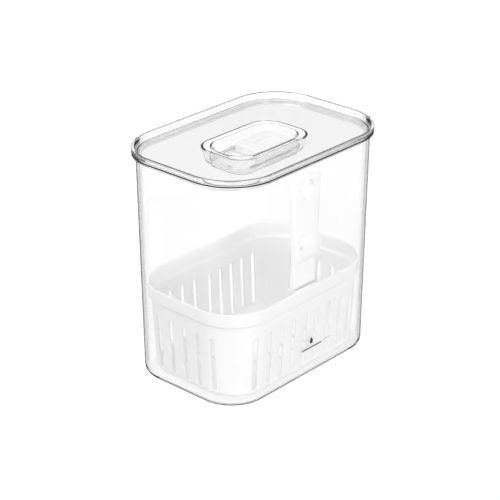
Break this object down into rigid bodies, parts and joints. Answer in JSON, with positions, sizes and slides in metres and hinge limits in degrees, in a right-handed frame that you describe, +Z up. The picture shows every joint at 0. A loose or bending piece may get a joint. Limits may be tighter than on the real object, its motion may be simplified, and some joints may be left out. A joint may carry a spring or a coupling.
{
  "type": "fridge storage bin with lid and drain basket",
  "caption": "Tall clear bin with a lift-off vented lid, a white slotted drain basket inside and a lift handle with a finger hole.",
  "frame": {"origin": "centre of the bin's base, on the surface it stands on", "axes": "+Z up, X along the long side, Y along the short side; the basket's handle is at the -Y wall and the vent slider rests at the +X end of its well"},
  "size_m": [0.211, 0.1458, 0.2159],
  "materials": {
    "clear_plastic": "clear glossy moulded plastic with no tint",
    "lid_clear_plastic": "clear glossy moulded plastic with a faint haze",
    "clear_silicone": "soft translucent silicone, satin",
    "knob_clear_plastic": "clear glossy moulded plastic",
    "vent_white_plastic": "white satin moulded plastic",
    "slider_white_plastic": "white satin moulded plastic",
    "basket_white_plastic": "white, slightly translucent moulded plastic, satin",
    "handle_white_plastic": "white satin moulded plastic"
  },
  "bodies": {
    "bin": {"bin_body": "clear_plastic"},
    "basket": {"basket": "basket_white_plastic", "lift_handle": "handle_white_plastic"},
    "lid": {"lid": "lid_clear_plastic", "lid_seal": "clear_silicone", "vent_housing": "knob_clear_plastic", "vent_base": "vent_white_plastic"},
    "vent": {"vent_slider": "slider_white_plastic"}
  },
  "joints": [
    {"name": "basket_lift", "type": "slide", "parent": "bin", "child": "basket", "axis": [0, 0, 1], "range_m": [0, 0.225]},
    {"name": "lid_lift", "type": "slide", "parent": "basket", "child": "lid", "axis": [0, 0, 1], "range_m": [0, 0.06]},
    {"name": "vent_slide", "type": "slide", "parent": "lid", "child": "vent", "axis": [-1, 0, 0], "range_m": [0, 0.0255]}
  ]
}
